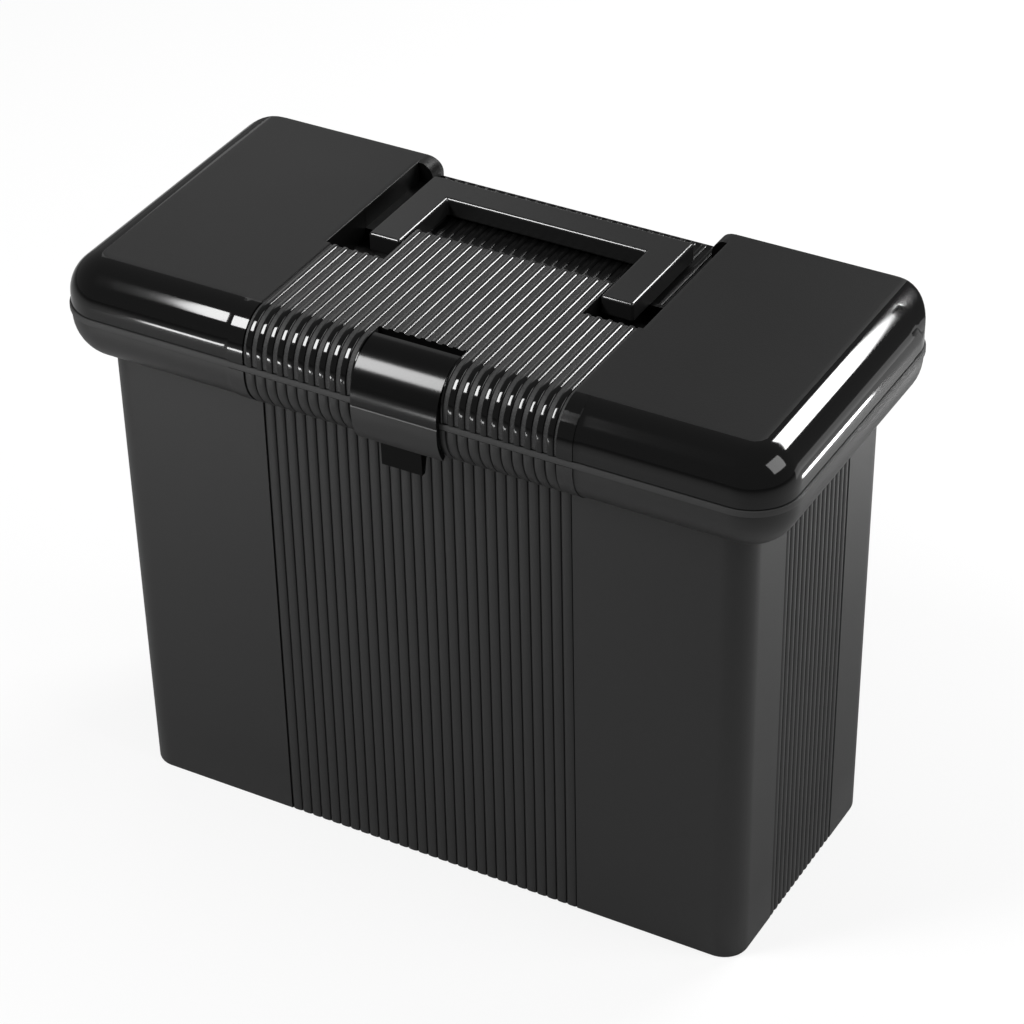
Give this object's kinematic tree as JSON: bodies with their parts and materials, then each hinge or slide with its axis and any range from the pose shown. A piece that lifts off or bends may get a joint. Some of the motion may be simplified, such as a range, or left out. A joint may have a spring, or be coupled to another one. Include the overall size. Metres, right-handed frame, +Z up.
{
  "type": "portable file box",
  "caption": "Deep moulded file box with reeded bands, hinged lid, front hasp latch and a folding U handle sunk in the lid, with rails inside for hanging folders.",
  "frame": {"origin": "centre of the footprint, on the surface that the box stands on", "axes": "+Z up, X along the width, -Y towards the latch at the front"},
  "size_m": [0.3556, 0.1706, 0.2794],
  "materials": {
    "tub_plastic": "satin black, moulded",
    "lid_plastic": "satin top with a polished rolled edge",
    "handle_plastic": "satin black",
    "latch_plastic": "polished black",
    "pin_steel": "plain drawn wire"
  },
  "bodies": {
    "tub_body": {"tub": "tub_plastic", "left_hinge_pin": "pin_steel", "right_hinge_pin": "pin_steel"},
    "lid_body": {"lid": "lid_plastic", "latch_pin": "pin_steel", "left_handle_pin": "pin_steel", "right_handle_pin": "pin_steel"},
    "handle_body": {"handle": "handle_plastic"},
    "latch_body": {"latch": "latch_plastic"}
  },
  "joints": [
    {"name": "lid_hinge", "type": "hinge", "parent": "tub_body", "child": "lid_body", "pos_m": [0, 0.082, 0.2566], "axis": [-1, 0, 0], "range_deg": [0, 110]},
    {"name": "handle_fold", "type": "hinge", "parent": "lid_body", "child": "handle_body", "pos_m": [0, 0.0135, 0.2747], "axis": [1, 0, 0], "range_deg": [0, 90]},
    {"name": "latch_swing", "type": "hinge", "parent": "lid_body", "child": "latch_body", "pos_m": [0, -0.0632, 0.2749], "axis": [-1, 0, 0], "range_deg": [0, 100]}
  ]
}
